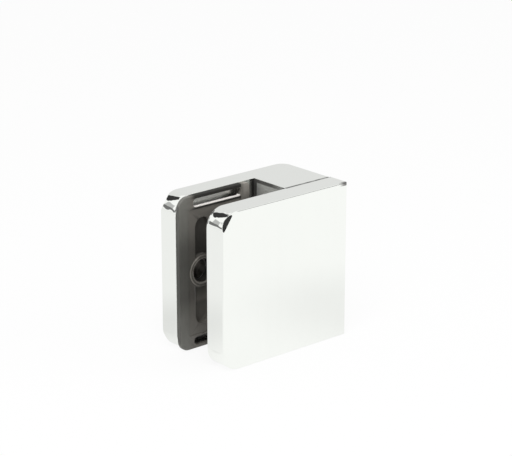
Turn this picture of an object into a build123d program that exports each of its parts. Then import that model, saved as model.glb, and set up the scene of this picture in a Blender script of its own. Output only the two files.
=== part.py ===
from build123d import *
import os

# Square glass clamp with a flat mounting face, all sizes in millimetres
# Origin: on the flat mounting face, where the axis of the fixing bolt leaves it
# +X points out of that face into the post, +Y towards the rear jaw, +Z up
# The slot for the glass opens towards -X, and its middle plane is Y = 0

# Whole clamp
clamp_length = 45.0
clamp_height = 45.0
slot_width = 13.0
slot_depth = 28.2
front_plate_thickness = 7.0
rear_cheek_thickness = 6.6
parting_gap = 0.1

# Rounded corners and polished edges
free_corner_radius = 5.5
post_corner_radius = 3.5
face_edge_radius = 0.6
parting_chamfer = 0.15
corner_facet_length = 3.9
corner_facet_height = 5.5
corner_facet_depth = 3.2

# Fixing bolt: a cap screw laid through the spine along X, its head let into the slot side
fixing_hole_radius = 3.3
fixing_counterbore_radius = 5.5
fixing_counterbore_depth = 6.6

# Safety pin: a blind hole in each jaw, on one axis
pin_hole_radius = 3.0
pin_hole_depth = 4.3
pin_from_mouth = 8.8

# Gasket outline on the face of a jaw: the rear pad reaches the edge, the front pad lies further in
rear_gasket_margin = 0.3
rear_gasket_corner_radius = 3.2
front_gasket_margin = 1.0
front_gasket_corner_radius = 5.0
gasket_stand_out = 1.0
gasket_spine_gap = 2.4
gasket_inner_corner_radius = 1.5
gasket_edge_radius = 0.25

# Pocket in each jaw, and the gasket's plug that fills it
pocket_depth = 1.8
pocket_rim = 1.3
pocket_corner_radius = 4.5
plug_clearance = 0.1

# Long slot along the gasket's upper and lower edge, with a trough behind its thin lip
lip_slot_height = 2.45
lip_slot_rim = 0.95
lip_slot_from_mouth = 5.4
lip_slot_end_land = 3.1
lip_slot_corner_radius = 1.1
lip_height = 1.7
lip_thickness = 1.4

# Sunk panel, round collar and long windows on the glass side of the gasket
panel_sink = 0.2
panel_mouth_land = 3.2
panel_lip_land = 0.55
panel_corner_radius = 0.6
collar_hole_radius = 3.3
collar_wall = 1.2
collar_moat = 0.35
collar_chamfer = 0.3
window_width = 5.3
window_reach = 15.5
window_depth = 1.7

# Clamping screws: countersunk, hexagon socket, metric 5 by 0.8
screw_radius = 2.5
screw_head_radius = 4.9
screw_head_rim = 0.3
screw_head_sink = 0.1
screw_seat_gap = 0.05
screw_passage_clearance = 0.25
screw_thread_clearance = 0.05
screw_thread_reach = 4.9
screw_hole_bottom_gap = 0.6
screw_tip_chamfer = 0.5
screw_from_end = 8.5
socket_across_flats = 3.0
socket_sides = 6
socket_depth = 2.0

# Places that follow from the sizes above
slot_half = slot_width / 2
front_face = -slot_half - front_plate_thickness
rear_face = slot_half + rear_cheek_thickness
parting_face = -slot_half + parting_gap
spine_length = clamp_length - slot_depth
mouth = -clamp_length
spine_wall = -spine_length
half_height = clamp_height / 2
pin_x = mouth + pin_from_mouth
screw_x = -spine_length / 2
screw_offset = half_height - screw_from_end
gasket_right = spine_wall - gasket_spine_gap
gasket_face = slot_half - gasket_stand_out
pocket_floor = slot_half + pocket_depth
lip_back = gasket_face + lip_thickness
lip_slot_left = mouth + lip_slot_from_mouth
lip_slot_right = gasket_right - lip_slot_end_land
collar_radius = collar_hole_radius + collar_wall
screw_passage_radius = screw_radius + screw_passage_clearance


def upright(y):
    """Plane across Y at the given place: local x is X, local y is Z, and it faces the front."""
    return Plane(origin=(0, y, 0), x_dir=(1, 0, 0), z_dir=(0, -1, 0))


def bar_along(x, direction, radius, length):
    """Round bar on the fixing bolt's axis, from one X place towards the given side."""
    start = Plane(origin=(x, 0, 0), z_dir=(direction, 0, 0))
    return start * Cylinder(radius, length, align=(Align.CENTER, Align.CENTER, Align.MIN))


def rounded_rectangle(left, right, half, left_radius, right_radius):
    """Sheet between two X places, the same above and below, with its own radius at each end."""
    sheet = Pos((left + right) / 2, 0) * Rectangle(right - left, 2 * half)
    if left_radius > 0:
        sheet = fillet(sheet.vertices().group_by(Axis.X)[0], left_radius)
    if right_radius > 0:
        sheet = fillet(sheet.vertices().group_by(Axis.X)[-1], right_radius)
    return sheet


def slab(sheet, y_one, y_other):
    """The sheet's outline as a plate between two places along Y."""
    return extrude(upright(max(y_one, y_other)) * sheet, abs(y_other - y_one))


def rod(x, z, radius, y_one, y_other):
    """Round bar along Y."""
    return slab(Pos(x, z) * Circle(radius), y_one, y_other)


def taper(x, z, y, direction, small_radius, large_radius, length):
    """Cone along Y: it starts small at the given place and widens towards the given side."""
    cone = Cone(small_radius, large_radius, length, align=(Align.CENTER, Align.CENTER, Align.MIN))
    return Plane(origin=(x, y, z), z_dir=(0, direction, 0)) * cone


def corner_facets(y_face, outward):
    """Two blocks that cut a flat facet on a jaw's free corners; outward is the face's side along Y."""
    blocks = []
    for side in (-1, 1):
        corner = Vector(mouth, y_face, side * half_height)
        along_x = corner + Vector(corner_facet_length, 0, 0)
        along_y = corner - Vector(0, outward * corner_facet_depth, 0)
        along_z = corner - Vector(0, 0, side * corner_facet_height)
        normal = Vector(-1 / corner_facet_length, outward / corner_facet_depth, side / corner_facet_height)
        block = Box(clamp_height, clamp_height, clamp_height, align=(Align.CENTER, Align.CENTER, Align.MIN))
        blocks.append(Plane(origin=(along_x + along_y + along_z) / 3, z_dir=normal) * block)
    return blocks


def gasket_pocket(outward):
    """Shallow pocket for the gasket's plug, with the blind hole for the safety pin in its floor."""
    sheet = rounded_rectangle(mouth + pocket_rim, gasket_right, half_height - pocket_rim,
                              pocket_corner_radius, gasket_inner_corner_radius)
    pin_end = slot_half + pin_hole_depth
    pocket = slab(sheet, outward * slot_half, outward * pocket_floor)
    return pocket + rod(pin_x, 0, pin_hole_radius, outward * slot_half, outward * pin_end)


def make_front_jaw():
    """Cover plate: a square with two rounded free corners, a gasket pocket and two blind threaded holes."""
    outline = rounded_rectangle(mouth, 0, half_height, free_corner_radius, 0)
    jaw = slab(outline, front_face, -slot_half)
    jaw = fillet(jaw.faces().sort_by(Axis.Y)[0].edges(), face_edge_radius)
    jaw = chamfer(jaw.faces().sort_by(Axis.Y)[-1].edges(), parting_chamfer)
    jaw -= corner_facets(front_face, -1)
    jaw -= gasket_pocket(-1)
    thread_radius = screw_radius + screw_thread_clearance
    thread_end = -slot_half - screw_thread_reach - screw_hole_bottom_gap
    for z in (-screw_offset, screw_offset):
        jaw -= rod(screw_x, z, thread_radius, thread_end, -slot_half)
    return jaw


def make_rear_jaw():
    """Body: the rear cheek and the spine block in one piece, with the holes for the bolts."""
    outline = rounded_rectangle(mouth, 0, half_height, free_corner_radius, 0)
    slot = rounded_rectangle(mouth, spine_wall, half_height, 0, 0)
    jaw = slab(outline, parting_face, rear_face) - slab(slot, parting_face, slot_half)
    post_edge = jaw.faces().sort_by(Axis.Y)[-1].edges().sort_by(Axis.X)[-1]
    jaw = fillet(post_edge, post_corner_radius)
    mouth_edge = jaw.faces().sort_by(Axis.Y)[-1].edges().sort_by(Axis.X)[0]
    jaw = fillet(mouth_edge, face_edge_radius)
    jaw = chamfer(jaw.faces().sort_by(Axis.Y)[0].edges(), parting_chamfer)
    jaw -= corner_facets(rear_face, 1)
    jaw -= gasket_pocket(1)
    jaw -= bar_along(0, -1, fixing_hole_radius, spine_length)
    jaw -= bar_along(spine_wall, 1, fixing_counterbore_radius, fixing_counterbore_depth)
    seat_radius = screw_head_radius + screw_head_rim + screw_head_sink + screw_seat_gap
    seat_depth = seat_radius - screw_passage_radius
    for z in (-screw_offset, screw_offset):
        jaw -= rod(screw_x, z, screw_passage_radius, parting_face, rear_face)
        jaw -= taper(screw_x, z, rear_face - seat_depth, 1, screw_passage_radius, seat_radius, seat_depth)
    return jaw


def long_window():
    """Outline of the upper window: straight sides and a round end, kept clear of the collar."""
    radius = window_width / 2
    straight = window_reach - radius
    window = Pos(pin_x, straight / 2) * Rectangle(window_width, straight)
    window += Pos(pin_x, straight) * Circle(radius)
    return window - Pos(pin_x, 0) * Circle(collar_radius + collar_moat)


def make_gasket(outward, margin, corner_radius):
    """Moulded rubber pad: a flange on the jaw's face, a plug in its pocket; outward points into the jaw."""
    gasket_left = mouth + margin
    gasket_half_height = half_height - margin
    lip_slot_bottom = gasket_half_height - lip_slot_rim - lip_slot_height
    panel_half_height = lip_slot_bottom - panel_lip_land
    flange_sheet = rounded_rectangle(gasket_left, gasket_right, gasket_half_height,
                                     corner_radius, gasket_inner_corner_radius)
    flange = slab(flange_sheet, gasket_face, slot_half)
    flange = fillet(flange.faces().sort_by(Axis.Y)[0].edges(), gasket_edge_radius)
    plug_sheet = rounded_rectangle(mouth + pocket_rim + plug_clearance, gasket_right - plug_clearance,
                                   half_height - pocket_rim - plug_clearance,
                                   pocket_corner_radius - plug_clearance,
                                   gasket_inner_corner_radius - plug_clearance)
    pad = flange + slab(plug_sheet, slot_half, pocket_floor)
    slot_middle = (lip_slot_left + lip_slot_right) / 2
    slot_length = lip_slot_right - lip_slot_left
    slot_sheet = fillet(Rectangle(slot_length, lip_slot_height).vertices(), lip_slot_corner_radius)
    trough_height = gasket_half_height - lip_slot_bottom + lip_height
    trough_sheet = Rectangle(slot_length, trough_height)
    panel_sheet = rounded_rectangle(gasket_left + panel_mouth_land, lip_slot_right, panel_half_height,
                                    panel_corner_radius, panel_corner_radius)
    panel_sheet -= Pos(pin_x, 0) * Circle(collar_radius)
    pad -= slab(panel_sheet, gasket_face, gasket_face + panel_sink)
    for side in (-1, 1):
        slot_z = side * (lip_slot_bottom + lip_slot_height / 2)
        trough_z = side * (gasket_half_height - trough_height / 2)
        pad -= slab(Pos(slot_middle, slot_z) * slot_sheet, gasket_face, lip_back)
        pad -= slab(Pos(slot_middle, trough_z) * trough_sheet, lip_back, pocket_floor)
        window = long_window() if side > 0 else mirror(long_window(), Plane.XZ)
        pad -= slab(window, gasket_face, gasket_face + window_depth)
    pad -= rod(pin_x, 0, collar_hole_radius, gasket_face, pocket_floor)
    pad -= taper(pin_x, 0, gasket_face + collar_chamfer, -1, collar_hole_radius,
                 collar_hole_radius + collar_chamfer, collar_chamfer)
    return pad if outward > 0 else mirror(pad, Plane.XZ)


def make_clamp_screw(z):
    """Countersunk screw from the rear face, through the spine block, into the cover plate."""
    top = rear_face - screw_head_sink
    tip = -slot_half - screw_thread_reach
    cone_end = top - screw_head_rim - (screw_head_radius - screw_radius)
    section = Polyline([
        (0, top),
        (screw_head_radius, top),
        (screw_head_radius, top - screw_head_rim),
        (screw_radius, cone_end),
        (screw_radius, tip + screw_tip_chamfer),
        (screw_radius - screw_tip_chamfer, tip),
        (0, tip),
    ], close=True)
    body = revolve(make_face(section), Axis.Y)
    socket_sheet = RegularPolygon(socket_across_flats / 2, socket_sides, major_radius=False)
    body -= slab(socket_sheet, top - socket_depth, top)
    return Pos(screw_x, 0, z) * body


parts = {
    "rear_jaw": make_rear_jaw(),
    "front_jaw": make_front_jaw(),
    "rear_gasket": make_gasket(1, rear_gasket_margin, rear_gasket_corner_radius),
    "front_gasket": make_gasket(-1, front_gasket_margin, front_gasket_corner_radius),
    "clamp_screw_upper": make_clamp_screw(screw_offset),
    "clamp_screw_lower": make_clamp_screw(-screw_offset),
}

os.makedirs("parts", exist_ok=True)
for name, solid in parts.items():
    export_step(solid, os.path.join("parts", name + ".step"))
    print(name, "volume", round(solid.volume, 1))
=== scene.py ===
import math

import bmesh
import bpy
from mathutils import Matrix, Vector


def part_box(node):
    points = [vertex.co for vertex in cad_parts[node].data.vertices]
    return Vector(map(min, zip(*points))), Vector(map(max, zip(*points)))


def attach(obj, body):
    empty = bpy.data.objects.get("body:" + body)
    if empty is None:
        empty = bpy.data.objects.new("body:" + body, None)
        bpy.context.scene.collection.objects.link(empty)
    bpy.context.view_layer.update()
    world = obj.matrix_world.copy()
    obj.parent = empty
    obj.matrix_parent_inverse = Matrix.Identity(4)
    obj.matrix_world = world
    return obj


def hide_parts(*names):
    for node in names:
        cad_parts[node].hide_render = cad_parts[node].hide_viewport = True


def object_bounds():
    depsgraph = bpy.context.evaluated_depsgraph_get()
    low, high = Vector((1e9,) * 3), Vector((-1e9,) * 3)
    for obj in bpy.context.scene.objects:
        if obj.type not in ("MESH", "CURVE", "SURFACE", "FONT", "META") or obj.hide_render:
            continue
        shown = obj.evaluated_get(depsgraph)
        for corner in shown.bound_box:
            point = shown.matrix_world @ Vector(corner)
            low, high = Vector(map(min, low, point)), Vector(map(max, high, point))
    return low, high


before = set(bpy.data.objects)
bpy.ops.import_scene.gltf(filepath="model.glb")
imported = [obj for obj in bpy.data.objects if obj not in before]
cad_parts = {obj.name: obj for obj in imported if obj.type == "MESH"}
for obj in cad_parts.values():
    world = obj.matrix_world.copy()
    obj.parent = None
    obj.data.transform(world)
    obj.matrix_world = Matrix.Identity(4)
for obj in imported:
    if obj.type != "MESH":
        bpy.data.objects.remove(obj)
CAD_LOW, CAD_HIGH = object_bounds()

bl_info = {
    "name": "Square glass clamp",
    "version": (1, 0, 0),
    "blender": (4, 5, 0),
    "location": "3D View > Sidebar > Clamp",
    "description": "Finishes a two-jaw glass clamp: polished jaws, gaskets, clamping screws and the studio",
    "category": "Object",
}

# Metres in one millimetre
MM = 0.001

# Places read from the frame
CENTRE = (CAD_LOW + CAD_HIGH) / 2
FLOOR = CAD_LOW.z
MOUTH = CAD_LOW.x
REAR_PAD_LOW, REAR_PAD_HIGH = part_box("rear_gasket")
FRONT_PAD_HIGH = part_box("front_gasket")[1]
SCREW_LOW, SCREW_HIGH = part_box("clamp_screw_upper")
SCREW_LINE = (SCREW_LOW + SCREW_HIGH) / 2

# Places on the clamp that follow from its own sizes
PIN_LINE = MOUTH + 8.8 * MM
SLOT_HALF = 6.5 * MM
JAW_MIDDLE = 10 * MM
JAW_HALF = 3.5 * MM
JAW_CORNER_RADIUS = 5.5 * MM
SPINE_WALL = REAR_PAD_HIGH.x + 2.4 * MM
LIP_DROP = 3.4 * MM
LIP_SLOT_HEIGHT = 2.45 * MM
SHANK_RADIUS = 2.5 * MM

# How far a mask reaches past the face that it covers, or keeps off the face beside it
SKIN = 0.05 * MM


# Shader expressions

def find_socket(sockets, key):
    """Socket of a node by its place, its identifier or its name."""
    if isinstance(key, int):
        return sockets[key]
    return next(s for s in sockets if key in (s.identifier, s.name))


class Signal:
    """Output of a shader node; arithmetic on it adds Math nodes."""

    def __init__(self, graph, socket):
        self.graph = graph
        self.socket = socket

    def math(self, operation, *values):
        return self.graph.node("ShaderNodeMath", {"operation": operation}, dict(enumerate(values)))

    def __add__(self, other):
        return self.math("ADD", self, other)

    def __radd__(self, other):
        return self.math("ADD", other, self)

    def __sub__(self, other):
        return self.math("SUBTRACT", self, other)

    def __rsub__(self, other):
        return self.math("SUBTRACT", other, self)

    def __mul__(self, other):
        return self.math("MULTIPLY", self, other)

    def __rmul__(self, other):
        return self.math("MULTIPLY", other, self)

    def __truediv__(self, other):
        return self.math("DIVIDE", self, other)

    def __abs__(self):
        return self.math("ABSOLUTE", self)

    def largest(self, other):
        return self.math("MAXIMUM", self, other)

    def smallest(self, other):
        return self.math("MINIMUM", self, other)


class Graph:
    """Node tree of a material or of the world."""

    def __init__(self, tree):
        self.tree = tree
        tree.nodes.clear()

    def node(self, kind, settings=None, inputs=None, output=0):
        """Adds a node, sets it up, fills its sockets with values or links, and gives one of its outputs."""
        made = self.tree.nodes.new(kind)
        for name, value in (settings or {}).items():
            setattr(made, name, value)
        for key, value in (inputs or {}).items():
            socket = find_socket(made.inputs, key)
            if isinstance(value, Signal):
                self.tree.links.new(value.socket, socket)
            else:
                socket.default_value = value
        return Signal(self, find_socket(made.outputs, output)) if made.outputs else made

    def place(self):
        """The point's X, Y and Z on the object, in metres."""
        return self.split(self.node("ShaderNodeTexCoord", output="Object"))

    def split(self, vector):
        """The three numbers of a vector."""
        x = self.node("ShaderNodeSeparateXYZ", inputs={0: vector}, output="X")
        outputs = x.socket.node.outputs
        return x, Signal(self, outputs["Y"]), Signal(self, outputs["Z"])

    def noise(self, size, detail=2.0, roughness=0.5, stretch=(1.0, 1.0, 1.0)):
        """Cloudy value from 0 to 1 with spots of the given size in metres."""
        point = self.node("ShaderNodeTexCoord", output="Object")
        point = self.node("ShaderNodeMapping", inputs={"Vector": point, "Scale": stretch})
        return self.node("ShaderNodeTexNoise", inputs={
            "Vector": point, "Scale": 1.0 / size, "Detail": detail, "Roughness": roughness})

    def rise(self, value, low, high, start=0.0, end=1.0):
        """Smooth step from start to end as the value goes from low to high."""
        return self.node("ShaderNodeMapRange", {"interpolation_type": "SMOOTHSTEP"}, {
            "Value": value, "From Min": low, "From Max": high, "To Min": start, "To Max": end})

    def blend(self, factor, first, second):
        """Colour between two colours."""
        return self.node("ShaderNodeMix", {"data_type": "RGBA"}, {
            "Factor_Float": factor, "A_Color": first, "B_Color": second}, "Result_Color")

    def bump(self, height, distance, strength=1.0, under=None):
        """Normal of a relief, laid over another normal if one is given."""
        inputs = {"Height": height, "Distance": distance, "Strength": strength}
        if under is not None:
            inputs["Normal"] = under
        return self.node("ShaderNodeBump", inputs=inputs)

    def over(self, value, limit):
        """1 where the value is over the limit, else 0."""
        return value.math("GREATER_THAN", value, limit)

    def under(self, value, limit):
        """1 where the value is under the limit, else 0."""
        return value.math("LESS_THAN", value, limit)

    def between(self, value, low, high):
        """1 where the value lies between two numbers, else 0."""
        return self.over(value, low) * self.under(value, high)

    def ring_distance(self, one, two, centre):
        """Distance of a point from a line, in the plane across it."""
        one = one - centre[0]
        two = two - centre[1]
        return one.math("SQRT", one * one + two * two)

    def surface(self, shader, kind="ShaderNodeOutputMaterial"):
        self.node(kind, inputs={"Surface": shader})


def rgb(value, warmth=0.0):
    """Opaque grey, a little warmer or cooler."""
    return (value * (1 + warmth), value, value * (1 - warmth), 1.0)


def new_material(name):
    """Empty material and the graph that fills it."""
    material = bpy.data.materials.new(name)
    material.use_nodes = True
    return material, Graph(material.node_tree)


# Settings

class ClampMetalSettings(bpy.types.PropertyGroup):
    colour: bpy.props.FloatVectorProperty(
        name="Colour", description="Colour of the polished jaws",
        default=(0.932, 0.95, 0.916), size=3, min=0.0, max=1.0, subtype="COLOR")
    roughness: bpy.props.FloatProperty(
        name="Polish haze", description="Roughness of the mirror polish",
        default=0.035, min=0.0, max=0.5, subtype="FACTOR")
    waviness: bpy.props.FloatProperty(
        name="Waviness", description="Height of the slow waves that hand polishing leaves",
        default=0.0006 * MM, unit="LENGTH", precision=6)
    edge_softness: bpy.props.FloatProperty(
        name="Edge softness", description="How far polishing has rounded the jaws' edges",
        default=0.18 * MM, unit="LENGTH", precision=6)
    corner_fullness: bpy.props.FloatProperty(
        name="Corner fullness", description="How much fuller the rounded corners are in their middle",
        default=0.3 * MM, unit="LENGTH", precision=6)


class ClampRubberSettings(bpy.types.PropertyGroup):
    colour: bpy.props.FloatVectorProperty(
        name="Colour", description="Colour of the rubber pads",
        default=(0.16, 0.157, 0.143), size=3, min=0.0, max=1.0, subtype="COLOR")
    edge_radius: bpy.props.FloatProperty(
        name="Edge radius", description="Rounding of the moulded edges",
        default=0.09 * MM, unit="LENGTH", precision=6)
    slot_edge_radius: bpy.props.FloatProperty(
        name="Slot edge radius", description="Rounding round the long slots",
        default=0.65 * MM, unit="LENGTH", precision=6)
    grain: bpy.props.FloatProperty(
        name="Grain", description="Size of the fine moulding grain",
        default=0.12 * MM, unit="LENGTH", precision=6)


class ClampScrewSettings(bpy.types.PropertyGroup):
    thread_pitch: bpy.props.FloatProperty(
        name="Thread pitch", description="Advance of the clamping screw in one turn",
        default=0.8 * MM, unit="LENGTH", precision=6)
    thread_depth: bpy.props.FloatProperty(
        name="Thread depth", description="Depth of the thread's groove",
        default=0.43 * MM, unit="LENGTH", precision=6)
    socket_across_flats: bpy.props.FloatProperty(
        name="Socket across flats", description="Width of the hexagon socket",
        default=3.0 * MM, unit="LENGTH", precision=6)
    socket_depth: bpy.props.FloatProperty(
        name="Socket depth", description="Depth of the hexagon socket",
        default=2.0 * MM, unit="LENGTH", precision=6)
    sides: bpy.props.IntProperty(
        name="Sides", description="Steps round the screw, a multiple of six",
        default=48, min=12, max=96)


class ClampStageSettings(bpy.types.PropertyGroup):
    azimuth: bpy.props.FloatProperty(
        name="Azimuth", description="Camera's turn round the clamp, from the front towards its right side",
        default=math.radians(-41.14), subtype="ANGLE")
    elevation: bpy.props.FloatProperty(
        name="Elevation", description="Camera's height angle",
        default=math.radians(19.36), subtype="ANGLE")
    distance: bpy.props.FloatProperty(
        name="Distance", description="From the camera to the middle of the clamp",
        default=0.552, unit="LENGTH")
    lens: bpy.props.FloatProperty(
        name="Lens", description="Focal length on a 36 mm wide picture",
        default=139.9, subtype="DISTANCE_CAMERA")
    shift: bpy.props.FloatVectorProperty(
        name="Shift", description="Where the clamp sits in the picture, in picture widths",
        default=(0.003, 0.072), size=2)
    lamp_power: bpy.props.FloatProperty(
        name="Lamp power", description="Strength of the large soft lamp",
        default=3.0, unit="POWER")
    sky: bpy.props.FloatProperty(
        name="Sky", description="Strength of the soft light from all sides",
        default=0.7, min=0.0)


# Materials

def drilled_holes(graph):
    """Mask of what was only drilled: the holes for the safety pin, the screws and the fixing bolt."""
    pin_radius = 3.4 * MM
    pin_depth = 11.5 * MM
    bolt_radius = 5.6 * MM
    screw_radius = 5.4 * MM
    plate_skin = 0.5 * MM
    x, y, z = graph.place()
    pin = graph.under(graph.ring_distance(x, z, (PIN_LINE, 0.0)), pin_radius)
    pin = pin * graph.between(abs(y), SLOT_HALF + SKIN, pin_depth)
    bolt = graph.under(graph.ring_distance(y, z, (0.0, 0.0)), bolt_radius)
    bolt = bolt * graph.between(x, SPINE_WALL + SKIN, -SKIN)
    screw = graph.under(graph.ring_distance(x, abs(z), (SCREW_LINE.x, SCREW_LINE.z)), screw_radius)
    screw = screw * graph.between(y, CAD_LOW.y + plate_skin, CAD_HIGH.y - SKIN)
    return pin.largest(bolt).largest(screw)


def milled_pocket(graph):
    """Mask of the pocket behind each gasket, kept off the jaws' outer skin."""
    rim = 0.8 * MM
    corner_rim = 0.35 * MM
    end_gap = 0.3 * MM
    x, y, z = graph.place()
    height = abs(z)
    beyond_x = (MOUTH + JAW_CORNER_RADIUS - x).largest(0.0)
    beyond_z = (height - (CAD_HIGH.z - JAW_CORNER_RADIUS)).largest(0.0)
    from_corner = graph.ring_distance(beyond_x, beyond_z, (0.0, 0.0))
    pocket = graph.under(from_corner, JAW_CORNER_RADIUS - corner_rim)
    pocket = pocket * graph.between(abs(y), SLOT_HALF + SKIN, REAR_PAD_HIGH.y + SKIN)
    pocket = pocket * graph.between(x, MOUTH + rim, REAR_PAD_HIGH.x + end_gap)
    return pocket * graph.under(height, CAD_HIGH.z - rim)


def slot_end(graph):
    """Masks at the slot's inner end: its plain wall, and the painted shade in the corner and along the brink
    of that wall.
    """
    pad_gap = 0.7 * MM
    corner_width = 1.3 * MM
    corner_full = 1.0 * MM
    brink_width = 1.3 * MM
    brink_full = 0.9 * MM
    x, y, z = graph.place()
    side = abs(y)
    height = abs(z)
    inside = graph.under(side, SLOT_HALF + SKIN) * graph.under(height, CAD_HIGH.z - SKIN)
    inside = inside * graph.under(x, SPINE_WALL + SKIN)
    wall = inside * graph.over(x, SPINE_WALL - SKIN)
    # Painted shade in the corner beside the pad's end, and along the wall's top brink
    corner = inside * graph.over(x, REAR_PAD_HIGH.x + pad_gap)
    corner = corner * graph.rise(side, SLOT_HALF - corner_width, SLOT_HALF - corner_full)
    corner = corner * graph.rise(z, 15 * MM, 20 * MM, 0.85, 1.0)
    brink = wall * graph.rise(height, CAD_HIGH.z - brink_width, CAD_HIGH.z - brink_full)
    brink = brink * graph.rise(y, -7 * MM, 0.0, 0.25, 1.0)
    return wall, corner.largest(brink)


def joint_shade_and_dark_edge_end(graph):
    """Mask of the painted shade along the parting line on the outside, and of the darkened end of the cover's
    top edge.
    """
    outer_skin = 0.3 * MM
    line_full = 0.2 * MM
    line_width = 0.65 * MM
    dark_end_height = 0.8 * MM
    dark_end_depth = 0.9 * MM
    x, y, z = graph.place()
    outside = graph.over(abs(z), CAD_HIGH.z - outer_skin).largest(graph.over(x, -outer_skin))
    joint = outside * graph.rise(abs(y + SLOT_HALF), line_full, line_width, 1.0, 0.0)
    joint = joint * graph.over(x, SPINE_WALL + 0.1 * MM)
    joint = joint * graph.rise(graph.noise(2.2 * MM, 2.0), 0.38, 0.55, 0.65, 1.0)
    # Darkened end of the cover's top edge
    dark_edge_end = graph.over(z, CAD_HIGH.z - dark_end_height) * graph.under(y, CAD_LOW.y + dark_end_depth)
    return joint.largest(dark_edge_end * graph.rise(x, -3.2 * MM, -0.9 * MM))


def pillowed_corner(graph, fullness, edge):
    """Normal of the rounded corners at the mouth, which polishing left fuller in their middle and wavy."""
    widest = 0.85
    corner_end = 1.2 * MM
    skin_fade, skin_end = 12.5 * MM, 12.8 * MM
    waves = graph.noise(3.5 * MM, 1.0)
    x, y, z = graph.place()
    side = abs(y)
    from_mouth = MOUTH + JAW_CORNER_RADIUS - x
    from_top = abs(z) - (CAD_HIGH.z - JAW_CORNER_RADIUS)
    corner = graph.rise(from_mouth, 0.0, corner_end) * graph.rise(from_top, -0.3 * MM, 0.6 * MM)
    across = (abs(side - JAW_MIDDLE) / JAW_HALF).smallest(widest)
    hollow = across * across
    height = corner * (0.6 * waves - hollow * (0.7 + 0.3 * hollow))
    between_faces = graph.over(side, SLOT_HALF + 0.1 * MM) * graph.rise(side, skin_fade, skin_end, 1.0, 0.0)
    return graph.bump(height, fullness, between_faces, under=edge)


def polished_metal(settings):
    """Mirror-polished jaws: soft edges, slow waves, stray scratches, plain milled and drilled places; faint
    painted reflection bands, and painted shade in the holes, at the slot's inner end, in the lower pockets
    and along the parting line.
    """
    material, graph = new_material("polished_metal")
    cloud = graph.noise(9 * MM, 3.0)
    reflection_bands = graph.noise(2.6 * MM, 2.0, 0.5, (1.0, 1.0, 0.08))
    haze = graph.noise(1.4 * MM, 4.0, 0.6)
    scratch = graph.rise(graph.noise(0.35 * MM, 3.0, 0.7, (1.0, 1.0, 0.06)), 0.66, 0.8)
    swirl = graph.noise(0.16 * MM, 4.0, 0.7)
    drilled = drilled_holes(graph)
    pocket = milled_pocket(graph)
    wall, wall_shade = slot_end(graph)
    x, _, z = graph.place()
    # Painted shade in the pocket below the middle
    low_pocket = pocket * graph.under(z, 0.0)
    sheen_low, sheen_high = 18.75 * MM, 19.3 * MM
    sheen_fade, sheen_end = REAR_PAD_HIGH.x - 8.5 * MM, REAR_PAD_HIGH.x - 6.5 * MM
    sheen = pocket * graph.rise(z, sheen_low, sheen_high, 0.45, 1.0)
    sheen = sheen * graph.rise(x, sheen_fade, sheen_end, 1.0, 0.0)
    # Painted shade at the slot's inner end, in the lower pockets and along the parting line, with the
    # darkened end of the cover's top edge
    darkening = wall_shade.largest(low_pocket).largest(joint_shade_and_dark_edge_end(graph))

    darker, lighter = (tuple(share * part for part in settings.colour) + (1.0,) for share in (0.98, 1.012))
    # Random cloudy tone, with faint vertical bands that are a painted reflection
    tone = graph.blend(0.6 * cloud + 0.4 * reflection_bands, darker, lighter)
    scratched, shaded_rough_cut, dark_tone = rgb(0.7), rgb(0.3, 0.06), rgb(0.15, 0.03)
    tone = graph.blend(0.05 * scratch, tone, scratched)
    # Drilled holes: a rough-cut finish, darkened further as painted shade in the holes
    tone = graph.blend(drilled * (0.75 + 0.25 * swirl), tone, shaded_rough_cut)
    tone = graph.blend(0.9 * darkening, tone, dark_tone)
    polish = settings.roughness * (0.7 + 0.6 * haze) + 0.02 * scratch
    edge = graph.node("ShaderNodeBevel", {"samples": 8}, {"Radius": settings.edge_softness})
    corner = pillowed_corner(graph, settings.corner_fullness, edge)
    shine = graph.node("ShaderNodeBsdfPrincipled", inputs={
        "Base Color": tone,
        "Metallic": 1 - (0.5 * sheen).largest(0.17 * wall),
        "Roughness": polish + drilled * (0.38 + 0.1 * swirl) + (0.26 * pocket).largest(0.4 * wall),
        "Normal": graph.bump(graph.noise(14 * MM, 1.0), settings.waviness, under=corner),
    })
    graph.surface(shine)
    return material


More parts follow.
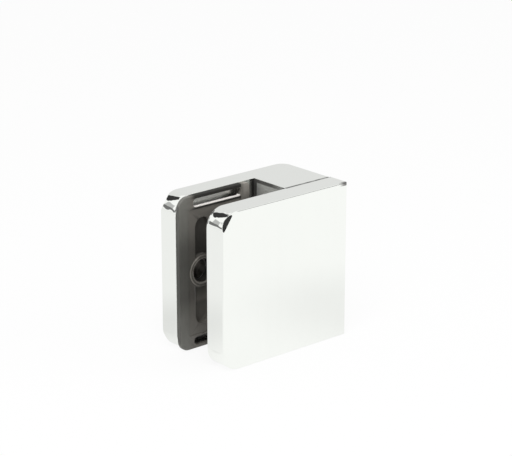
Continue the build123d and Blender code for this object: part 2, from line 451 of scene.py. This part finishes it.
def rubber_light_and_shade(graph, bloom, streak):
    """Share of the rubber's brightness, as painted light and shade: darker in the middle and the recesses,
    paler at ends and rims.
    """
    pad_edge = MOUTH + 0.36 * MM
    pad_end = REAR_PAD_HIGH.x
    hole_radius = 3.38 * MM
    x, y, z = graph.place()
    depth = abs(y) - REAR_PAD_LOW.y

    # Painted light and shade over the whole pad: paler towards its top and bottom ends, darker along its
    # mouth edge, paler at its upper inner corner
    ends = graph.rise(abs(z), 6 * MM, 14 * MM, 0.62, 1.0)
    edge = graph.rise(x, pad_edge, MOUTH + 0.62 * MM, 0.55, 1.0)
    inner_end = graph.rise(x, pad_end - 3.0 * MM, pad_end - 1.8 * MM)
    inner_end = inner_end * graph.rise(z, 17 * MM, 21 * MM)

    # Painted shade in the windows and in the pin hole, and painted highlights on the rims of the collar and
    # of the ring round it
    # Painted light in the windows: the lower window is left lighter than the upper one
    window_light = graph.rise(z, -6 * MM, 1 * MM, 1.6, 0.52) - graph.rise(z, -10 * MM, -8.5 * MM, 0.7, 0.0)
    recess = (1 - window_light) * graph.rise(depth, 0.5 * MM, 1.6 * MM)
    from_pin = graph.ring_distance(x, z, (PIN_LINE, 0.0))
    hole = graph.under(from_pin, hole_radius) * graph.rise(depth, 0.12 * MM, 0.4 * MM)
    inner_rim = graph.between(from_pin, 3.25 * MM, 3.8 * MM)
    outer_rim = graph.between(from_pin, 4.3 * MM, 4.6 * MM)
    rims = inner_rim.largest(outer_rim) * graph.rise(depth, 0.2 * MM, 0.45 * MM, 1.0, 0.0)
    rims = rims * graph.rise(x, PIN_LINE - 2 * MM, PIN_LINE, 1.0, 0.5)

    shade = ends * edge * (0.8 + 0.26 * bloom + 0.14 * streak) * (1 + 0.7 * inner_end)
    return shade * (1 - recess) * (1 - 0.75 * hole) * (1 + 1.4 * rims)


def slot_lips(graph):
    """Marks of the long slots: the painted white highlight on the lip, the painted shade on the rims on both
    its sides, and its rolled relief.
    """
    slot_left = MOUTH + 5.2 * MM
    slot_right = REAR_PAD_HIGH.x - 3.1 * MM
    roll_start = 0.15 * MM
    roll_end = 0.65 * MM
    x, y, z = graph.place()
    depth = abs(y) - REAR_PAD_LOW.y
    upper = graph.over(z, 0.0)
    in_front = graph.under(y, 0.0)
    lip_top = REAR_PAD_HIGH.z - LIP_DROP - in_front * (REAR_PAD_HIGH.z - FRONT_PAD_HIGH.z)
    over_lip = abs(z) - lip_top

    # Painted shade on the rims under the lip and along the far side of the slot
    rims = graph.rise(over_lip, -0.8 * MM, -0.45 * MM) * graph.rise(over_lip, -0.12 * MM, 0.0, 1.0, 0.0)
    rims = rims.largest(graph.rise(over_lip, 2.3 * MM, 2.55 * MM)) * upper
    rims = rims * graph.rise(x, MOUTH + 3.8 * MM, MOUTH + 6.4 * MM) * graph.under(x, slot_right - 0.1 * MM)

    # Painted highlight: a white lip, which widens at the slot's inner end
    curl = 0.28 * MM * graph.rise(x, slot_right - 0.9 * MM, slot_right - 0.1 * MM)
    lip = graph.rise(over_lip, -0.46 * MM, -0.4 * MM)
    lip = lip * graph.rise(over_lip - curl, 0.05 * MM, 0.12 * MM, 1.0, 0.0) * upper
    lip = lip * graph.between(depth, 0.02 * MM, 1.45 * MM)
    lip = lip * graph.between(x, slot_left, slot_right + 0.4 * MM)

    # Rolled relief: its height in millimetres, a curve that goes over into a straight slope
    start = ((depth - roll_start) / MM).largest(0.0)
    after = ((depth - roll_end) / MM).largest(0.0)
    roll = 1.185 * (start * start - after * after) * graph.between(over_lip, -0.8 * MM, 0.3 * MM)
    return lip, rims, graph.bump(roll, 1.0 * MM)


def moulded_rubber(settings):
    """Dark moulded rubber with a fine grain and uneven tone, painted light and shade, and a painted white
    highlight on the rolled lip along each upper slot.
    """
    material, graph = new_material("moulded_rubber")
    bloom = graph.noise(5 * MM, 4.0, 0.6)
    grain = graph.noise(settings.grain, 2.0, 0.6)
    streak = graph.noise(1.1 * MM, 3.0, 0.6, (1.0, 1.0, 0.25))
    lip, rims, rolled = slot_lips(graph)
    # Painted light and shade over the pad, with painted shade on the rims beside the long slots
    shade = rubber_light_and_shade(graph, bloom, streak) * (1 - 0.86 * rims)
    x, _, _ = graph.place()
    red, green, blue = (2 * part for part in settings.colour)
    full = graph.blend(graph.rise(x, MOUTH + 3.0 * MM, MOUTH + 5.0 * MM),
                       (red, 1.01 * green, blue, 1.0), (1.02 * red, 0.98 * green, 0.96 * blue, 1.0))
    tone = graph.blend(0.5 * shade, rgb(0.0), full)
    # Painted highlight: the lip's top is coloured near white, with a little metallic shine and less roughness
    tone = graph.blend(lip, tone, rgb(0.95, 0.04))
    shine = graph.node("ShaderNodeBsdfPrincipled", inputs={
        "Base Color": tone,
        "Metallic": 0.25 * lip,
        "Roughness": (0.36 + 0.16 * bloom + 0.06 * grain + 0.3 * rims) * (1 - 0.8 * lip),
        "Normal": graph.bump(grain + 0.5 * streak, 0.008 * MM, 0.6, under=rolled),
    })
    graph.surface(shine)
    return material


def turned_steel():
    """Plain turned screw steel: fine rings round each screw's line and darker roots in the thread."""
    material, graph = new_material("turned_steel")
    thread_root = 2.05 * MM
    thread_crest = 2.4 * MM
    x, _, z = graph.place()
    from_line = graph.ring_distance(x, abs(z), (SCREW_LINE.x, SCREW_LINE.z))
    speckle = graph.noise(0.2 * MM, 3.0, 0.7)
    lathe = graph.node("ShaderNodeTexNoise", {"noise_dimensions": "1D"}, {
        "W": from_line, "Scale": 1 / (0.05 * MM), "Detail": 3.0})
    # Darker towards the thread's roots, in patches
    darkening = (1 - graph.rise(from_line, thread_root, thread_crest)) * graph.noise(0.8 * MM, 3.0)
    tone = graph.blend(lathe, rgb(0.5), rgb(0.66, 0.01))
    tone = graph.blend(0.5 * darkening, tone, rgb(0.22, 0.03))
    shine = graph.node("ShaderNodeBsdfPrincipled", inputs={
        "Base Color": tone,
        "Metallic": 1.0,
        "Roughness": 0.22 + 0.12 * lathe + 0.06 * speckle,
        "Normal": graph.bump(lathe, 0.003 * MM, 0.5),
    })
    graph.surface(shine)
    return material


# Meshes

def new_piece(name, mesh, material, body, replaced):
    """Shows a finished mesh in place of a node: its material and the body it rides on."""
    piece = bpy.data.objects.new(name, mesh)
    bpy.context.scene.collection.objects.link(piece)
    mesh.materials.clear()
    mesh.materials.append(material)
    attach(piece, body)
    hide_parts(replaced)


def finished_mesh(piece, name):
    """The piece's mesh with its modifiers worked in; the piece itself is removed."""
    bpy.context.view_layer.update()
    shown = piece.evaluated_get(bpy.context.evaluated_depsgraph_get())
    mesh = bpy.data.meshes.new_from_object(shown)
    mesh.name = name
    bpy.data.objects.remove(piece)
    return mesh


def shade_by_angle(mesh, limit):
    """Smooth shading, with an edge kept sharp where its faces turn by more than the limit."""
    bm = bmesh.new()
    bm.from_mesh(mesh)
    for face in bm.faces:
        face.smooth = True
    for edge in bm.edges:
        edge.smooth = len(edge.link_faces) == 2 and edge.calc_face_angle(0.0) < limit
    bm.to_mesh(mesh)
    bm.free()


def merged_copy(node, name):
    """Copy of a node's mesh with its loose triangles joined and its flat faces made whole."""
    same_place = 0.0005 * MM
    flat = math.radians(0.5)
    bm = bmesh.new()
    bm.from_mesh(node.data)
    bmesh.ops.remove_doubles(bm, verts=bm.verts, dist=same_place)
    bmesh.ops.dissolve_limit(bm, angle_limit=flat, verts=bm.verts, edges=bm.edges)
    for layer in list(bm.loops.layers.float_vector.values()):
        bm.loops.layers.float_vector.remove(layer)
    mesh = bpy.data.meshes.new(name)
    bm.to_mesh(mesh)
    bm.free()
    if "custom_normal" in mesh.attributes:
        mesh.attributes.remove(mesh.attributes["custom_normal"])
    return mesh


def turned_mesh(name, rows, sides, centre):
    """Closed mesh turned about a line along Y; a row is a Y place and a radius that may follow the angle."""
    bm = bmesh.new()
    rings = []
    for y, radius in rows:
        ring = []
        for step in range(sides):
            angle = math.tau * step / sides
            reach = radius(angle) if callable(radius) else radius
            ring.append(bm.verts.new((
                centre.x + reach * math.cos(angle), y, centre.z + reach * math.sin(angle))))
        rings.append(ring)
    for ring, following in zip(rings, rings[1:]):
        for step in range(sides):
            after = (step + 1) % sides
            bm.faces.new((ring[step], ring[after], following[after], following[step]))
    for ring in (rings[0], rings[-1]):
        middle = sum((vert.co for vert in ring), Vector()) / sides
        point = bm.verts.new(middle)
        for step in range(sides):
            bm.faces.new((point, ring[step], ring[(step + 1) % sides]))
    bmesh.ops.recalc_face_normals(bm, faces=bm.faces)
    mesh = bpy.data.meshes.new(name)
    bm.to_mesh(mesh)
    bm.free()
    return mesh


# Thread node tree

class Tree:
    """Geometry node tree with named inputs."""

    def __init__(self, name):
        self.group = bpy.data.node_groups.new(name, "GeometryNodeTree")
        self.inputs = self.group.nodes.new("NodeGroupInput")

    def add_input(self, name, kind):
        socket = self.group.interface.new_socket(name, in_out="INPUT", socket_type=kind)
        return socket.identifier

    def node(self, kind, settings=None, inputs=None, output=0):
        made = self.group.nodes.new(kind)
        for name, value in (settings or {}).items():
            setattr(made, name, value)
        for key, value in (inputs or {}).items():
            socket = find_socket(made.inputs, key)
            if isinstance(value, bpy.types.NodeSocket):
                self.group.links.new(value, socket)
            else:
                socket.default_value = value
        return find_socket(made.outputs, output) if made.outputs else made

    def math(self, operation, *values):
        return self.node("ShaderNodeMath", {"operation": operation}, dict(enumerate(values)))

    def finish(self, geometry, material):
        """Ends the tree in Realize Instances and Set Material."""
        self.group.interface.new_socket("Geometry", in_out="OUTPUT", socket_type="NodeSocketGeometry")
        real = self.node("GeometryNodeRealizeInstances", inputs={"Geometry": geometry})
        dressed = self.node("GeometryNodeSetMaterial", inputs={"Geometry": real, "Material": material})
        self.node("NodeGroupOutput", inputs={"Geometry": dressed})


def thread_tree():
    """Cuts a right-hand V thread into a round shank along Y: a groove that follows height and angle.

    Crest and root are shares of half the pitch: flat before the one and full depth after the other.
    Points nearer the line than the input Shank stay in place.
    """
    crest = 0.125
    root = 0.8
    tree = Tree("Screw thread")
    names = {"Geometry": "NodeSocketGeometry", "Material": "NodeSocketMaterial", "Centre": "NodeSocketVector",
             "Pitch": "NodeSocketFloat", "Depth": "NodeSocketFloat", "Runout": "NodeSocketFloat",
             "Low": "NodeSocketFloat", "High": "NodeSocketFloat", "Shank": "NodeSocketFloat"}
    identifiers = {name: tree.add_input(name, kind) for name, kind in names.items()}
    given = {name: find_socket(tree.inputs.outputs, name) for name in names}
    offset = tree.node("ShaderNodeVectorMath", {"operation": "SUBTRACT"}, {
        0: tree.node("GeometryNodeInputPosition"), 1: given["Centre"]})
    split = tree.node("ShaderNodeSeparateXYZ", inputs={0: offset}).node
    x, y, z = split.outputs
    turn = tree.math("DIVIDE", tree.math("ARCTAN2", z, x), math.tau)
    phase = tree.math("FRACT", tree.math("ADD", tree.math("DIVIDE", y, given["Pitch"]), turn))
    ridge = tree.math("ABSOLUTE", tree.math("SUBTRACT", tree.math("MULTIPLY", phase, 2.0), 1.0))
    flank = tree.node("ShaderNodeMapRange", inputs={
        "Value": ridge, "From Min": crest, "From Max": root})
    from_low = tree.node("ShaderNodeMapRange", inputs={
        "Value": tree.math("SUBTRACT", y, given["Low"]), "From Min": 0.0, "From Max": given["Runout"]})
    from_high = tree.node("ShaderNodeMapRange", inputs={
        "Value": tree.math("SUBTRACT", given["High"], y), "From Min": 0.0, "From Max": given["Runout"]})
    outward = tree.node("ShaderNodeVectorMath", {"operation": "MULTIPLY"}, {0: offset, 1: (1.0, 0.0, 1.0)})
    reach = tree.node("ShaderNodeVectorMath", {"operation": "LENGTH"}, {0: outward}, "Value")
    skin = tree.math("GREATER_THAN", reach, given["Shank"])
    cut = tree.math("MULTIPLY", tree.math("MULTIPLY", flank, given["Depth"]),
                    tree.math("MULTIPLY", from_low, from_high))
    cut = tree.math("MULTIPLY", tree.math("MULTIPLY", cut, skin), -1.0)
    along = tree.node("ShaderNodeVectorMath", {"operation": "NORMALIZE"}, {0: outward})
    moved = tree.node("GeometryNodeSetPosition", inputs={
        "Geometry": given["Geometry"],
        "Offset": tree.node("ShaderNodeVectorMath", {"operation": "SCALE"}, {0: along, "Scale": cut})})
    tree.finish(moved, given["Material"])
    return tree.group, identifiers


# Operators

class CLAMP_OT_polish_jaws(bpy.types.Operator):
    """Gives the rear jaw and the front jaw their mirror polish"""
    bl_idname = "clamp.polish_jaws"
    bl_label = "Polish jaws"

    def execute(self, context):
        metal = polished_metal(context.scene.clamp_metal)
        for name in ("rear_jaw", "front_jaw"):
            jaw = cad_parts[name].data
            jaw.materials.clear()
            jaw.materials.append(metal)
        return {"FINISHED"}


class CLAMP_OT_mould_gaskets(bpy.types.Operator):
    """Makes the two moulded rubber pads, with rounded edges"""
    bl_idname = "clamp.mould_gaskets"
    bl_label = "Mould gaskets"

    sharp_edge = math.radians(40)
    crease = math.radians(32)

    def mark_slot_edges(self, mesh, box):
        """Marks the outline of the long slots on the pad's glass side, to be rounded more than the rest."""
        low, high = box
        face = min(abs(low.y), abs(high.y))
        near = 0.01 * MM
        bottom = high.z - LIP_DROP - near
        top = high.z - LIP_DROP + LIP_SLOT_HEIGHT + near
        weights = mesh.attributes.new("bevel_weight_edge", "FLOAT", "EDGE")
        for edge in mesh.edges:
            ends = [mesh.vertices[i].co for i in edge.vertices]
            on_face = all(abs(abs(end.y) - face) < near for end in ends)
            if on_face and all(bottom < abs(end.z) < top for end in ends):
                weights.data[edge.index].value = 1.0

    def execute(self, context):
        settings = context.scene.clamp_rubber
        rubber = moulded_rubber(settings)
        for node, body in (("rear_gasket", "clamp_body"), ("front_gasket", "cover")):
            mesh = merged_copy(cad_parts[node], node + "_blank")
            self.mark_slot_edges(mesh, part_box(node))
            blank = bpy.data.objects.new(node + "_blank", mesh)
            context.scene.collection.objects.link(blank)
            lips = blank.modifiers.new("Slot edges", "BEVEL")
            lips.width = settings.slot_edge_radius
            lips.segments = 4
            lips.limit_method = "WEIGHT"
            rounding = blank.modifiers.new("Moulded edges", "BEVEL")
            rounding.width = settings.edge_radius
            rounding.segments = 2
            rounding.limit_method = "ANGLE"
            rounding.angle_limit = self.sharp_edge
            pad = finished_mesh(blank, node + "_rubber")
            shade_by_angle(pad, self.crease)
            new_piece(node + "_rubber", pad, rubber, body, node)
        return {"FINISHED"}


class CLAMP_OT_turn_screws(bpy.types.Operator):
    """Makes the two countersunk clamping screws, with their hexagon sockets and threads"""
    bl_idname = "clamp.turn_screws"
    bl_label = "Turn screws"

    crease = math.radians(35)

    def screw_rows(self, settings, top, tip, head_radius, shank_radius):
        """Places and radii down the screw: socket, head, countersink, shank and chamfered tip."""
        flat = settings.socket_across_flats / 2
        sixth = math.tau / 6

        def hexagon(growth):
            return lambda angle: growth + flat / math.cos(angle % sixth - sixth / 2)

        edge = 0.12 * MM
        rim = 0.3 * MM
        drill_point = 0.4 * MM
        tip_chamfer = 0.5 * MM
        rows_per_pitch = 8
        middle_ring = 0.55 * head_radius
        cone_end = top - rim - (head_radius - shank_radius)
        rows = [
            (top - settings.socket_depth - drill_point, drill_point),
            (top - settings.socket_depth, hexagon(0.0)),
            (top - edge, hexagon(0.0)),
            (top, hexagon(edge)),
            (top, middle_ring),
            (top, head_radius - edge),
            (top - edge, head_radius),
            (top - rim, head_radius),
            (cone_end, shank_radius),
        ]
        step = settings.thread_pitch / rows_per_pitch
        low = tip + tip_chamfer
        count = round((cone_end - low) / step)
        rows += [(cone_end - (cone_end - low) * i / count, shank_radius) for i in range(1, count + 1)]
        rows.append((tip, shank_radius - tip_chamfer))
        return rows, cone_end

    def execute(self, context):
        settings = context.scene.clamp_screw
        steel = turned_steel()
        thread, identifiers = thread_tree()
        for node, body in (("clamp_screw_upper", "upper_screw"), ("clamp_screw_lower", "lower_screw")):
            low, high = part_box(node)
            centre = (low + high) / 2
            head_radius = (high.x - low.x) / 2
            rows, neck = self.screw_rows(settings, high.y, low.y, head_radius, SHANK_RADIUS)
            mesh = turned_mesh(node + "_blank", rows, settings.sides, centre)
            blank = bpy.data.objects.new(node + "_blank", mesh)
            context.scene.collection.objects.link(blank)
            cutter = blank.modifiers.new("Screw thread", "NODES")
            cutter.node_group = thread
            values = {
                "Material": steel, "Centre": (centre.x, 0.0, centre.z), "Pitch": settings.thread_pitch,
                "Depth": settings.thread_depth, "Runout": settings.thread_pitch,
                "Low": low.y - settings.thread_pitch, "High": neck - 2 * settings.thread_pitch,
                "Shank": 0.79 * SHANK_RADIUS}
            for name, value in values.items():
                cutter[identifiers[name]] = value
            screw = finished_mesh(blank, node + "_steel")
            shade_by_angle(screw, self.crease)
            new_piece(node + "_steel", screw, steel, body, node)
        return {"FINISHED"}


# What the polished metal mirrors: azimuth from the back towards the right and elevation of each card's
# middle, its half width and half height, its soft edge, all in degrees, and how dark it is
STUDIO_CARDS = {
    "back wall": ((34, 22), (34, 24), 4, 0.225),
    "black card": ((-12.5, 40), (11.5, 12), 2.5, 0.96),
    "grey card": ((-41, 18.5), (9, 6.5), 4, 0.5),
    "dark strip": ((-44, 6.5), (16, 3.6), 1.5, 0.82),
    "side card": ((110, 48), (8, 7), 3, 0.85),
    "camera side": ((-142, 29), (14, 12), 6, 0.96),
}

# Painted soft shadows on the floor, which the polished sides mirror: middle in X and Y, inner and outer
# radius, and share of the light that is left in the middle
FLOOR_SHADES = (
    ((18 * MM, -28 * MM), 5 * MM, 45 * MM, 0.9),
    ((-56 * MM, 24 * MM), 4 * MM, 32 * MM, 0.84),
)

# Large soft lamps: place from the clamp's middle, width and height, and share of the lamp power
LAMPS = {
    "key_lamp": ((-0.35, -0.3, 0.6), (0.5, 0.5), 1.0),
    "fill_lamp": ((0.4, -0.5, 0.3), (0.6, 0.4), 0.4),
}


class CLAMP_OT_set_stage(bpy.types.Operator):
    """Sets up the pale floor, the soft studio light and the camera"""
    bl_idname = "clamp.set_stage"
    bl_label = "Set stage"

    def lit_as_seen(self, graph):
        """1 for rays that show the background: from the camera, by reflection or through something clear."""
        shown = graph.node("ShaderNodeLightPath", output="Is Camera Ray")
        outputs = shown.socket.node.outputs
        for name in ("Is Glossy Ray", "Is Transmission Ray"):
            shown = shown.largest(Signal(graph, outputs[name]))
        return shown

    def make_floor(self):
        """Wide pale floor under the clamp, which keeps a faint shadow; reflections see it a little darker."""
        reach = 3.0
        dim_side = -90 * MM
        mesh = bpy.data.meshes.new("floor")
        corners = [(-reach, -reach), (reach, -reach), (reach, reach), (-reach, reach)]
        mesh.from_pydata([(CENTRE.x + x, CENTRE.y + y, FLOOR) for x, y in corners], [], [(0, 1, 2, 3)])
        floor = bpy.data.objects.new("floor", mesh)
        bpy.context.scene.collection.objects.link(floor)
        material, graph = new_material("pale_floor")
        x, y, _ = graph.place()
        towards_light = (x - CENTRE.x) - (y - CENTRE.y)
        falloff = graph.rise(towards_light, dim_side, 0.0, 0.9, 1.0)
        for middle, inner, outer, left in FLOOR_SHADES:
            falloff = falloff * graph.rise(graph.ring_distance(x, y, middle), inner, outer, left, 1.0)
        seen = graph.node("ShaderNodeLightPath", output="Is Camera Ray")
        level = falloff + seen * (1 - falloff)
        shadowed = graph.node("ShaderNodeBsdfDiffuse", inputs={"Color": rgb(0.85)})
        lit = graph.node("ShaderNodeEmission", inputs={"Color": rgb(1.0), "Strength": level})
        glow = (0.86 + 0.04 * seen) * self.lit_as_seen(graph)
        graph.surface(graph.node("ShaderNodeMixShader", inputs={0: glow, 1: shadowed, 2: lit}))
        mesh.materials.append(material)

    def card(self, graph, azimuth, elevation, centre, half, soft):
        """Mask of a card in the studio: a soft-edged patch of directions, in degrees."""
        across = graph.rise(abs(azimuth - centre[0]), half[0], half[0] + soft, 1.0, 0.0)
        up = graph.rise(abs(elevation - centre[1]), half[1], half[1] + soft, 1.0, 0.0)
        return across * up

    def make_world(self, strength):
        """White studio all round; reflections also see its grey wall and its dark cards."""
        world = bpy.data.worlds.new("studio")
        bpy.context.scene.world = world
        world.use_nodes = True
        graph = Graph(world.node_tree)
        x, y, z = graph.split(graph.node("ShaderNodeTexCoord", output="Generated"))
        azimuth = x.math("ARCTAN2", x, y) * math.degrees(1)
        elevation = z.math("ARCSINE", z) * math.degrees(1)
        bright = 1.0
        for centre, half, soft, depth in STUDIO_CARDS.values():
            bright = bright * (1 - depth * self.card(graph, azimuth, elevation, centre, half, soft))
        camera = graph.node("ShaderNodeLightPath", output="Is Camera Ray")
        level = strength + self.lit_as_seen(graph) * (bright - strength)
        level = level + camera * (1 - level)
        graph.surface(graph.node("ShaderNodeBackground", inputs={
            "Color": rgb(1.0), "Strength": level}), "ShaderNodeOutputWorld")

    def add_lamp(self, name, place, size, power):
        """Large soft lamp aimed at the clamp, which gives light and shows in no reflection."""
        lamp = bpy.data.lights.new(name, "AREA")
        lamp.shape = "RECTANGLE"
        lamp.size, lamp.size_y = size
        lamp.energy = power
        holder = bpy.data.objects.new(name, lamp)
        holder.location = CENTRE + Vector(place)
        holder.rotation_euler = (-Vector(place)).to_track_quat("-Z", "Y").to_euler()
        holder.visible_glossy = False
        bpy.context.scene.collection.objects.link(holder)

    def make_camera(self, settings):
        """Camera at the picture's angle, aimed at the middle of the clamp."""
        data = bpy.data.cameras.new("camera")
        data.lens = settings.lens
        data.sensor_width = 36.0
        data.shift_x, data.shift_y = settings.shift
        data.clip_start, data.clip_end = 0.01, 20.0
        a, e = settings.azimuth, settings.elevation
        back = Vector((math.sin(a) * math.cos(e), -math.cos(a) * math.cos(e), math.sin(e)))
        camera = bpy.data.objects.new("camera", data)
        camera.location = CENTRE + settings.distance * back
        camera.rotation_mode = "QUATERNION"
        camera.rotation_quaternion = (-back).to_track_quat("-Z", "Y")
        bpy.context.scene.collection.objects.link(camera)
        bpy.context.scene.camera = camera

    def execute(self, context):
        settings = context.scene.clamp_stage
        context.scene.view_settings.view_transform = "Standard"
        self.make_floor()
        self.make_world(settings.sky)
        for name, (place, size, share) in LAMPS.items():
            self.add_lamp(name, place, size, share * settings.lamp_power)
        self.make_camera(settings)
        return {"FINISHED"}


class CLAMP_PT_sidebar(bpy.types.Panel):
    """Steps that finish the clamp, with their sizes and colours"""
    bl_idname = "CLAMP_PT_sidebar"
    bl_label = "Glass clamp"
    bl_space_type = "VIEW_3D"
    bl_region_type = "UI"
    bl_category = "Clamp"

    def draw(self, context):
        groups = {"clamp_metal": "clamp.polish_jaws", "clamp_rubber": "clamp.mould_gaskets",
                  "clamp_screw": "clamp.turn_screws", "clamp_stage": "clamp.set_stage"}
        for name, step in groups.items():
            settings = getattr(context.scene, name)
            column = self.layout.column(align=True)
            for entry in settings.bl_rna.properties:
                if entry.identifier not in ("rna_type", "name"):
                    column.prop(settings, entry.identifier)
            column.operator(step)


SETTINGS = {"clamp_metal": ClampMetalSettings, "clamp_rubber": ClampRubberSettings,
            "clamp_screw": ClampScrewSettings, "clamp_stage": ClampStageSettings}
STEPS = (CLAMP_OT_polish_jaws, CLAMP_OT_mould_gaskets, CLAMP_OT_turn_screws, CLAMP_OT_set_stage)


def register():
    for name, group in SETTINGS.items():
        bpy.utils.register_class(group)
        setattr(bpy.types.Scene, name, bpy.props.PointerProperty(type=group))
    for step in (*STEPS, CLAMP_PT_sidebar):
        bpy.utils.register_class(step)


def unregister():
    for step in reversed((*STEPS, CLAMP_PT_sidebar)):
        bpy.utils.unregister_class(step)
    for name, group in SETTINGS.items():
        delattr(bpy.types.Scene, name)
        bpy.utils.unregister_class(group)


def main():
    """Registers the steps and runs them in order."""
    register()
    bpy.ops.clamp.polish_jaws()
    bpy.ops.clamp.mould_gaskets()
    bpy.ops.clamp.turn_screws()
    bpy.ops.clamp.set_stage()


if __name__ == "__main__":
    main()
